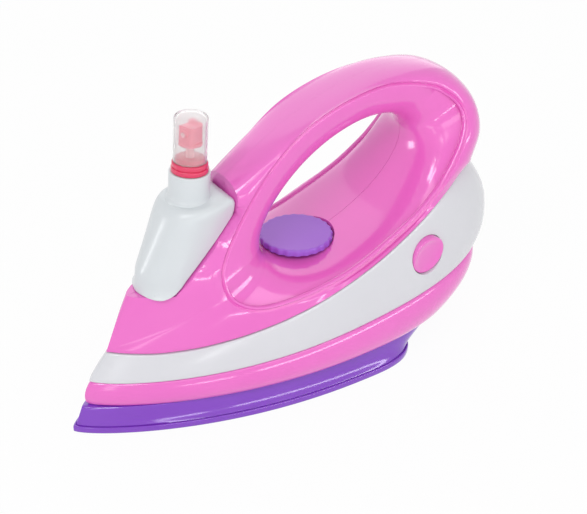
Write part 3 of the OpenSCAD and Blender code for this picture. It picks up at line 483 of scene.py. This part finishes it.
def shell_section(v, filled=False):
    """One ring of a half: scoop, lip, flank to the edge, then back inside unless filled."""
    x, z, w, k = line_at(v)
    line = Vector((x, z))
    before, after = line_at(v - 0.05), line_at(v + 0.05)
    across = Vector((before[1] - after[1], after[0] - before[0])).normalized()
    skin = SKIN_UNDER if filled else 0
    bead = 0 if filled else between(v, BEAD)
    w -= skin
    seam, inner_seam = seam_at(line, skin), seam_at(line, WALL)
    (edge, edge_y), (inner, inner_y) = edge_at(v, skin), edge_at(v, WALL)
    inner_w = w - WALL_ACROSS + skin
    half_gap = GAP / 2 if filled or v < LOW_ROWS else CROWN_GAP / 2

    def scoop(start, end, width, turn):
        q = math.radians(turn)
        p = start + (end - start) * (1 - math.cos(q) ** (2 / ROUND))
        return p.x, max(GAP / 2, width * math.sin(q) ** (2 / ROUND)), p.y

    def flank(start, end, end_y, width, u):
        p = start * (1 - u) + end * u
        bow = (1 - k) * (1 - u) ** FLAT + k * (1 - u ** ROUND) ** (1 / ROUND)
        y = end_y + (width - end_y) * bow
        if v < LOW_ROWS and u > TUCK_FROM:
            y -= TUCK_DEPTH * ((u - TUCK_FROM) / TUCK_LENGTH) ** TUCK_POWER
        return p.x, max(half_gap, y), p.y

    lip = line + across * (BEAD_IN * bead)
    out = [scoop(seam, lip, w - BEAD_DOWN * bead, turn) for turn in SCOOP_TURNS]
    for flat_in, flat_down, bead_in, bead_down in LIP:
        p = line + across * mix(flat_in, bead_in, bead)
        out.append((p.x, w - mix(flat_down, bead_down, bead), p.y))
    first = min(LIP_SHARE, LIP_OUT / max(1e-6, (edge - line).length))
    for s in FLANK_STEPS:
        out.append(round_to_tank(flank(line, edge, edge_y, w, first + (1 - first) * s), skin))
    if filled:
        return out + [(edge.x, GAP / 2, edge.y)]
    under = line - across * (BEAD_UNDER * bead)
    out += [round_to_tank(flank(under, inner, inner_y, inner_w, u), WALL)
            for u in (1, 0.75, 0.5, 0.2)]
    return out + [scoop(inner_seam, under, inner_w, turn) for turn in (90, 60, 30, 0)]


DIAL_X, DIAL_TOP, DIAL_T, DIAL_R = 0.529 * BODY_L, 58.5, 2.8, 15.4
# The dish under the dial, up from its floor, and how far the halves are filled round it
DISH = [(0, 0), (15.6, 0), (15.75, 0.05), (15.85, 0.2), (15.88, 0.8), (16, 1.7), (16.25, 2.9),
        (16.7, 4.2), (17.3, 5.6), (17.3, 9), (0, 9)]
DISH_BOSS = rod(21.8, 50.5, 66)
# Screws that join the halves, seen as seats on the far half
SHELL_SCREWS = [(59.7, 43.75), (81.6, 76.25), (119.4, 108.1), (172.1, 96.25)]
SCREW_Y, POST_R, POST_HIGH = 5.4, 4.4, 34
REAR_FROM, REAR_POST_HIGH = 150, 8
SEAT = [(0, -6), (1.7, -6), (1.7, 0), (2.58, 0), (2.58, POST_HIGH), (0, POST_HIGH)]
SHELL_SHARP = 50


def make_shell(side, name):
    places = [j / LOW_STEPS for j in range(LOW_ROWS * LOW_STEPS)]
    places += [LOW_ROWS + j / HIGH_STEPS for j in range((len(CROWN_ROWS) - 1) * HIGH_STEPS)]

    def half(filled):
        return loop(name, [[(x, side * y, z) for x, y, z in shell_section(v, filled)]
                           for v in places], SHELL_SHARP)

    shell, lining, boss = half(False), half(True), half(True)
    cut(lining, prism("pocket", POCKET), SHELL_SHARP, "INTERSECT")
    under_dial = Matrix.Translation((DIAL_X, 0, 0))
    kept = turned("round", DISH_BOSS, under_dial)
    seats = [Matrix.Translation((x, SCREW_Y, z)) @ Matrix.Rotation(math.radians(-90), 4, "X")
             for x, z in SHELL_SCREWS if side > 0]
    for place in seats:
        high = REAR_POST_HIGH if place.translation.x > REAR_FROM else POST_HIGH
        cut(kept, turned("post", rod(POST_R, -3, high), place, steps=48), SHELL_SHARP, "UNION")
    cut(boss, kept, SHELL_SHARP, "INTERSECT")
    cut(shell, lining, SHELL_SHARP, "UNION")
    cut(shell, boss, SHELL_SHARP, "UNION")
    cut(shell, prism("bay", BAY), SHELL_SHARP)
    floor = DIAL_TOP - DIAL_T - 2 * GAP
    cut(shell, turned("dish", [(r, floor + up) for r, up in DISH], under_dial), SHELL_SHARP)
    for place in seats:
        cut(shell, turned("seat", SEAT, place, steps=48), SHELL_SHARP)
    return shell


LOBES, LOBE_DEPTH, LOBES_FROM = 24, 0.225, 12


def make_dial():
    """The scalloped dial."""
    def lobe(a, r):
        return -LOBE_DEPTH + LOBE_DEPTH * math.cos(LOBES * a) if r > LOBES_FROM else 0.0

    r, low, top = DIAL_R, DIAL_TOP - DIAL_T, DIAL_TOP
    profile = [(0, low), (r - 0.5, low), (r - 0.15, low + 0.12), (r, low + 0.45),
               (r, top - 0.75), (r - 0.06, top - 0.42), (r - 0.25, top - 0.15),
               (r - 0.55, top - 0.02), (r - 0.9, top), (r - 1.6, top - 0.03),
               (r - 2.9, top - 0.1), (r - 6, top - 0.16), (0, top - 0.2)]
    return turned("dial_fine", profile, Matrix.Translation((DIAL_X, 0, 0)), steps=384, lobes=lobe)


# Tank, pump and cap. What stands on the neck is drawn up from the neck's rim.
NECK_X, NECK_LEAN, NECK_UP = 0.2835 * BODY_L, 4.5, 10.9
HEAD_TURN = 24


def neck_place():
    return (Matrix.Translation((NECK_X, 0, TANK_TOP * BODY_H))
            @ Matrix.Rotation(math.radians(NECK_LEAN), 4, "Y")
            @ Matrix.Translation((0, 0, NECK_UP)))


def tank_rim(s, inset):
    """The tank's rim at a height: round front, tapered sides, rounded back corners."""
    front = between(s, TANK_FRONT) + inset
    back = between(s, TANK_BACK) - GAP - inset * 1.35
    w = between(s, TANK_WIDTH) - inset
    power = between(s, TANK_POWER)
    bow = min(TANK_BOW - inset, 0.93 * (back - front))
    r = min(TANK_CORNER, (back - front - bow) * 0.6)
    half = []
    for k in range(31):
        q = math.radians(3 * k)
        half.append((front + bow * (1 - math.cos(q) ** (2 / power)),
                     w * math.sin(q) ** (2 / power)))
    for k in range(1, 9):
        x = mix(front + bow, back - r, k / 8)
        half.append((x, tank_side(w, x - front - bow)))
    y = tank_side(w, back - r - front - bow)
    for k in range(1, 7):
        q = math.radians(15 * k)
        half.append((back - r + r * math.sin(q), y - r * (1 - math.cos(q))))
    half += [(back, (y - r) / 2), (back, 0.0)]
    return both_sides([(x, y, s * BODY_H) for x, y in half])


def make_tank():
    """The tank and its neck."""
    rims = [(0.4445, 0.5), (0.4455, 0.25), (0.4475, 0.06), (0.4505, 0)]
    rims += [(mix(TANK_FOOT, 0.69, k / 14), 0) for k in range(15)]
    rims += [(0.698, 0.05), (0.705, 0.2), (0.711, 0.45), (0.716, 0.8), (0.72, 1.3),
             (0.7228, 1.9), (TANK_TOP, 2.7)]
    tank = stack("spray_tank_fine", [tank_rim(s, inset) for s, inset in rims], 60)
    foot = -NECK_UP
    profile = [(5.6, foot - 1.5), (9.3, foot - 1.5), (9.2, foot - 0.2), (8.85, foot + 0.12),
               (8.5, foot + 0.36), (8.25, foot + 0.75), (8.12, foot + 1.3), (8.06, foot + 2.1),
               (8.05, foot + 3.4), (8.05, -0.5), (8.01, -0.26), (7.9, -0.08), (7.7, 0),
               (7.05, 0), (6.88, -0.06), (6.8, -0.25), (6.8, -7.85), (5.6, -7.85)]
    return tank, turned("tank_neck_fine", profile, neck_place(), steps=128, angle=50)


def make_closure():
    """Ring with its groove and the spigot that the cap grips."""
    low, spigot = 4.06, 6.21
    profile = [(4.6, -6.8), (6.65, -6.8), (6.65, 0.15), (7.05, 0.15), (7.22, 0.22), (7.27, 0.4),
               (7.27, 1.5), (7.23, 1.75), (7.05, 1.98), (6.75, 2.05), (6.62, 2.12),
               (6.62, 2.28), (6.75, 2.36), (6.95, 2.5), (7.02, 2.75), (7.02, 3.5), (6.96, 3.8),
               (6.76, low), (5.57, low), (5.57, spigot - 0.3), (5.5, spigot - 0.08),
               (5.3, spigot), (1.7, spigot), (1.7, spigot - 1.2), (4.6, spigot - 1.2)]
    return turned("pump_closure_fine", profile, neck_place(), steps=128, angle=35)


def make_spray_head():
    """The finger button on the stem, with its dished top and its nozzle facing the nose."""
    low, high = 11.12, 19.62
    half_x, half_w, corner = 3.95, 3.3, 1.58
    dish_r, dish_up = 7.9, 6.7
    nozzle_z = 16.24
    place = neck_place() @ Matrix.Rotation(math.radians(HEAD_TURN), 4, "Z")
    outline = []
    for cx, cy, first in ((1, 1, 0), (-1, 1, 90), (-1, -1, 180), (1, -1, 270)):
        for k in range(13):
            q = math.radians(first + 7.5 * k)
            outline.append((cx * (half_x - corner) + corner * math.cos(q),
                            cy * (half_w - corner) + corner * math.sin(q)))

    def top(x):
        return min(high, high + dish_up - math.sqrt(dish_r ** 2 - min(7.8, abs(x)) ** 2))

    # Rows up the sides and over the top: size, and height or drop below the top
    rows = [(1.0, None, low), (1.0, None, low + 5), (1.0, 0.5, 0), (0.985, 0.22, 0),
            (0.95, 0.06, 0), (0.9, 0, 0), (0.7, 0, 0), (0.4, 0, 0), (0.12, 0, 0)]
    points = []
    for s, drop, z in rows:
        for x, y in outline:
            h = z if drop is None else top(x * s) - drop
            points.append(tuple(place @ Vector((x * s, y * s, h))))
    n = len(outline)
    faces = ring_faces(len(rows), n) + [tuple(range(n - 1, -1, -1))]
    faces += [tuple((len(rows) - 1) * n + i for i in range(n))]
    head = mesh("spray_head_fine", points, faces, 45)
    collar = turned("spray_collar_fine", [
        (1.6, low), (4.4, low), (4.5, low + 0.12), (4.5, low + 0.95), (4.38, low + 1.12),
        (4.1, low + 1.2), (1.6, low + 1.2)], place)
    spout = (place @ Matrix.Translation((0, 0, nozzle_z))
             @ Matrix.Rotation(math.radians(-90), 4, "Y"))
    nozzle = turned("spray_nozzle_fine", [
        (1.0, 2), (1.58, 2), (1.58, 4.75), (1.52, 4.98), (1.36, 5.06), (1.14, 5.06),
        (1.05, 4.98), (1.0, 4.8)], spout, steps=64)
    insert = turned("nozzle_insert_fine", [
        (0.28, 3.5), (0.97, 3.5), (0.97, 4.82), (0.88, 4.9), (0.5, 4.9), (0.36, 4.8),
        (0.28, 4.6)], spout, steps=48)
    return head, collar, nozzle, insert


def make_overcap():
    low, high = 4.36, 23.16
    outer = [(6.0, low), (6.45, low), (6.53, low + 0.06), (6.55, low + 0.2), (6.55, low + 16.6),
             (6.5, low + 17.2), (6.32, low + 17.75), (5.98, low + 18.15), (5.45, low + 18.42),
             (4.6, low + 18.6), (3.4, low + 18.7), (1.8, low + 18.78), (0, high)]
    inner = [(0, high - 0.9), (2.8, high - 1.0), (4.3, high - 1.18), (5.1, high - 1.5),
             (5.5, high - 2.0), (5.65, high - 2.8), (5.65, low + 0.2), (5.72, low + 0.05)]
    return turned("overcap_fine", outer + inner, neck_place(), steps=128, angle=50)


# Materials
def moulded_group():
    """Moulded plastic: a faint drift of colour, uneven polish and a slightly wavy, fine grain."""
    group = bpy.data.node_groups.new("moulded_plastic", "ShaderNodeTree")
    face = group.interface
    face.new_socket("Color", in_out="INPUT", socket_type="NodeSocketColor")
    for name in ("Roughness", "Drift", "Wave", "Grain"):
        face.new_socket(name, in_out="INPUT", socket_type="NodeSocketFloat")
    face.new_socket("Color", in_out="OUTPUT", socket_type="NodeSocketColor")
    for name in ("Roughness", "Height"):
        face.new_socket(name, in_out="OUTPUT", socket_type="NodeSocketFloat")
    nodes, links = group.nodes, group.links
    given, result = nodes.new("NodeGroupInput"), nodes.new("NodeGroupOutput")
    place = nodes.new("ShaderNodeTexCoord")

    def noise(scale, detail):
        node = nodes.new("ShaderNodeTexNoise")
        node.inputs["Scale"].default_value = scale
        node.inputs["Detail"].default_value = detail
        links.new(place.outputs["Object"], node.inputs["Vector"])
        return node.outputs["Fac"]

    def maths(kind, a, b):
        node = nodes.new("ShaderNodeMath")
        node.operation = kind
        for socket, value in zip(node.inputs, (a, b)):
            if isinstance(value, (int, float)):
                socket.default_value = value
            else:
                links.new(value, socket)
        return node.outputs[0]

    patches = maths("SUBTRACT", noise(scale=28, detail=2), 0.5)
    drift = maths("MULTIPLY", patches, given.outputs["Drift"])
    tint = nodes.new("ShaderNodeHueSaturation")
    links.new(maths("ADD", 1.0, drift), tint.inputs["Value"])
    links.new(maths("SUBTRACT", 1.0, drift), tint.inputs["Saturation"])
    links.new(given.outputs["Color"], tint.inputs["Color"])
    links.new(tint.outputs["Color"], result.inputs["Color"])
    smear = maths("MULTIPLY", maths("SUBTRACT", noise(scale=95, detail=5), 0.5), 0.12)
    links.new(maths("ADD", given.outputs["Roughness"], smear), result.inputs["Roughness"])
    wave = maths("MULTIPLY", noise(scale=60, detail=0), given.outputs["Wave"])
    grain = maths("MULTIPLY", noise(scale=2600, detail=3), given.outputs["Grain"])
    links.new(maths("ADD", wave, grain), result.inputs["Height"])
    return group


MOULDED = moulded_group()


def plastic(name, color, rough, coat=0.0, drift=0.08, wave=0.00012, grain=0.000004, sockets=None):
    """A moulded finish; sockets are set on the shader itself."""
    material = bpy.data.materials.new(name)
    material.use_nodes = True
    nodes, links = material.node_tree.nodes, material.node_tree.links
    shade = nodes["Principled BSDF"]
    group = nodes.new("ShaderNodeGroup")
    group.node_tree = MOULDED
    for key, value in (("Color", (*color, 1)), ("Roughness", rough), ("Drift", drift),
                       ("Wave", wave), ("Grain", grain)):
        group.inputs[key].default_value = value
    bump = nodes.new("ShaderNodeBump")
    bump.inputs["Strength"].default_value = 1.0
    bump.inputs["Distance"].default_value = 1.0
    links.new(group.outputs["Color"], shade.inputs["Base Color"])
    links.new(group.outputs["Roughness"], shade.inputs["Roughness"])
    links.new(group.outputs["Height"], bump.inputs["Height"])
    links.new(bump.outputs["Normal"], shade.inputs["Normal"])
    shade.inputs["Coat Weight"].default_value = coat
    shade.inputs["Coat Roughness"].default_value = 0.08
    for key, value in (sockets or {}).items():
        shade.inputs[key].default_value = value
    return material


pink = plastic("pink_plastic", (0.81, 0.145, 0.555), 0.14, coat=0.5, drift=0.06, wave=0.00005)
white = plastic("white_plastic", (0.66, 0.665, 0.7), 0.24, coat=0.2, drift=0.04, wave=0.00004)
tank_white = plastic("tank_plastic", (0.65, 0.685, 0.71), 0.3, coat=0.15, drift=0.05,
                     wave=0.00003)
purple = plastic("purple_plastic", (0.21, 0.038, 0.52), 0.14, coat=0.5, drift=0.08, wave=0.00005)
dial_purple = plastic("dial_plastic", (0.33, 0.12, 0.64), 0.42, drift=0.06, wave=0.00005,
                      grain=0.000012)
inner_white = plastic("inner_plastic", (0.75, 0.75, 0.73), 0.35)
red = plastic("red_plastic", (0.74, 0.035, 0.12), 0.16, coat=0.3)
red_head = plastic("red_head_plastic", (0.9, 0.15, 0.26), 0.25, coat=0.1)
pale = plastic("nozzle_plastic", (0.9, 0.5, 0.55), 0.3)
rubber = plastic("rubber", (0.05, 0.05, 0.06), 0.6, drift=0.05, wave=0.00005, grain=0.00002)
steel = plastic("steel", (0.55, 0.55, 0.57), 0.3, drift=0.05, wave=0.00001, grain=0.00001,
                sockets={"Metallic": 1.0})
tube = plastic("tube_plastic", (0.85, 0.86, 0.86), 0.25, sockets={"Transmission Weight": 0.7})
clear = plastic("cap_plastic", (0.92, 0.91, 0.915), 0.2, coat=0.2, drift=0.03, wave=0.000004,
                sockets={"Transmission Weight": 0.86, "IOR": 1.18})


# Pieces take the place of their plainer solids
def dress(piece, body, material, name, *nodes):
    piece.data.materials.clear()
    piece.data.materials.append(material)
    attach(piece, body)
    if nodes:
        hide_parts(*nodes)


dress(make_sole(), "iron", purple, "purple", "sole_plate")
dress(make_lower_casing(), "iron", pink, "pink", "lower_casing")
dress(make_middle_casing(), "iron", white, "white", "middle_casing")
dress(make_shell(-1, "upper_shell_left_fine"), "iron", pink, "pink", "upper_shell_left")
dress(make_shell(1, "upper_shell_right_fine"), "iron", pink, "pink", "upper_shell_right")
tank, neck = make_tank()
dress(tank, "iron", tank_white, "tank_white", "spray_tank")
dress(neck, "iron", tank_white, "tank_white")
dress(make_closure(), "pump_unit", red, "red", "pump_closure")
head, collar, nozzle, insert = make_spray_head()
dress(head, "spray_head", red_head, "red", "spray_actuator")
dress(collar, "spray_head", red_head, "red")
dress(nozzle, "spray_head", red_head, "red")
dress(insert, "spray_head", pale, "white", "nozzle_insert")
dress(make_overcap(), "cap", clear, "clear", "overcap")
dress(make_dial(), "dial_unit", dial_purple, "dial_purple", "dial")
dress(make_button(-1, "side_button_left_fine"), "button_left", pink, "pink", "side_button_left")
dress(make_button(1, "side_button_right_fine"), "button_right", pink, "pink", "side_button_right")

# The pump's spring, between the barrel's floor and the piston, as a steel copy of its solid
spring = bpy.data.objects.new("pump_spring_fine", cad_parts["pump_spring"].data.copy())
bpy.context.scene.collection.objects.link(spring)
spring.data.materials.clear()
spring.data.materials.append(steel)
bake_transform(spring)
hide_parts("pump_spring")

# Solids that stay as they are
FINISHES = {
    "neck_gasket": rubber, "pump_barrel": inner_white, "pump_piston": pale,
    "valve_ball": steel, "dip_tube": tube, "click_wheel": inner_white, "dial_washer": steel,
    "dial_screw": steel, "click_leaf": steel, "button_spring_left": steel,
    "button_spring_right": steel, "button_guide_left": inner_white,
    "button_guide_right": inner_white, "shell_screws": steel, "casing_screws": steel,
    "sole_screws": steel}
for node, material in FINISHES.items():
    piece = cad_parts[node]
    if not piece.material_slots:
        piece.data.materials.append(material)
    for place in piece.material_slots:
        place.material = material


# Table, world, lamps and camera, in metres
PAPER, PAPER_GLOW = (0.9, 0.9, 0.9, 1), 0.95
FILL, BACKGROUND = 0.54, 1.0
LENS = 79.73
EYE = Vector((-0.22229, -0.38651, 0.33458))
RIGHT = Vector((0.838671, -0.544639, 0))
UP = Vector((0.288615, 0.444428, 0.848048))
BACK = Vector((-0.461880, -0.711233, 0.529919))


def seen_rays(nodes, links):
    """1 for rays that look at the background straight, in a reflection or through the cap."""
    path = nodes.new("ShaderNodeLightPath")
    total = path.outputs["Is Camera Ray"]
    for kind in ("Is Glossy Ray", "Is Transmission Ray"):
        add = nodes.new("ShaderNodeMath")
        add.operation = "ADD"
        add.use_clamp = True
        links.new(total, add.inputs[0])
        links.new(path.outputs[kind], add.inputs[1])
        total = add.outputs[0]
    return total


def table_paper():
    """Pale paper that takes shadows and shows as nearly white."""
    paper = bpy.data.materials.new("table_paper")
    paper.use_nodes = True
    nodes, links = paper.node_tree.nodes, paper.node_tree.links
    shade = nodes["Principled BSDF"]
    shade.inputs["Base Color"].default_value = PAPER
    shade.inputs["Roughness"].default_value = 0.9
    shade.inputs["Specular IOR Level"].default_value = 0.0
    glow = nodes.new("ShaderNodeEmission")
    share = nodes.new("ShaderNodeMath")
    share.operation = "MULTIPLY"
    share.inputs[1].default_value = PAPER_GLOW
    blend = nodes.new("ShaderNodeMixShader")
    links.new(seen_rays(nodes, links), share.inputs[0])
    links.new(share.outputs[0], blend.inputs["Fac"])
    links.new(shade.outputs["BSDF"], blend.inputs[1])
    links.new(glow.outputs["Emission"], blend.inputs[2])
    links.new(blend.outputs["Shader"], nodes["Material Output"].inputs["Surface"])
    return paper


def light_world():
    world = bpy.data.worlds.new("studio")
    bpy.context.scene.world = world
    world.use_nodes = True
    nodes, links = world.node_tree.nodes, world.node_tree.links
    sky = nodes["Background"]
    sky.inputs["Color"].default_value = (1, 1, 1, 1)
    strength = nodes.new("ShaderNodeMix")
    strength.data_type = "FLOAT"
    strength.inputs["A"].default_value = FILL
    strength.inputs["B"].default_value = BACKGROUND
    links.new(seen_rays(nodes, links), strength.inputs["Factor"])
    links.new(strength.outputs["Result"], sky.inputs["Strength"])


def lamp(name, place, wide, power, tall=None):
    """A soft lamp that faces the iron: square, or with its own height."""
    data = bpy.data.lights.new(name, "AREA")
    data.shape = "RECTANGLE" if tall else "SQUARE"
    data.size = wide
    if tall:
        data.size_y = tall
    data.energy = power
    lamp_object = bpy.data.objects.new(name, data)
    lamp_object.location = place
    facing = Vector((0, 0, 0.05)) - Vector(place)
    lamp_object.rotation_euler = facing.to_track_quat("-Z", "Y").to_euler()
    bpy.context.scene.collection.objects.link(lamp_object)


table_top = bpy.data.meshes.new("table")
table_top.from_pydata([(-4, -4, 0), (4, -4, 0), (4, 4, 0), (-4, 4, 0)], [], [(0, 1, 2, 3)])
table_top.materials.append(table_paper())
floor = bpy.data.objects.new("table", table_top)
bpy.context.scene.collection.objects.link(floor)

light_world()
lamp("high_window", (-0.95, -0.35, 1.05), wide=0.26, power=2.4, tall=0.34)
lamp("low_window", (-0.72, -0.62, 1.05), wide=0.26, power=2.3, tall=0.34)
lamp("lip_window", (-0.05, -0.68, 0.86), wide=0.8, power=1.4, tall=0.3)
lamp("long_window", (0.4, -1.03, 0.14), wide=1.04, power=2.4, tall=0.11)
lamp("short_window", (-0.34, -1.05, 0.13), wide=0.26, power=0.45, tall=0.08)
lamp("tall_window", (-0.95, -0.75, 0.4), wide=0.14, power=0.6, tall=0.62)
lamp("side_window", (-1.0, 0.56, 0.13), wide=0.2, power=1.1, tall=0.24)
lamp("back", (0.5, 0.9, 0.7), wide=1.4, power=3.8)

camera = bpy.data.cameras.new("camera")
camera.sensor_width = 36
camera.lens = LENS
camera.clip_start = 0.01
camera = bpy.data.objects.new("camera", camera)
bpy.context.scene.collection.objects.link(camera)
axes = [(RIGHT[i], UP[i], BACK[i], EYE[i]) for i in range(3)]
camera.matrix_world = Matrix(axes + [(0, 0, 0, 1)])
bpy.context.scene.camera = camera
bpy.context.scene.view_settings.view_transform = "Standard"
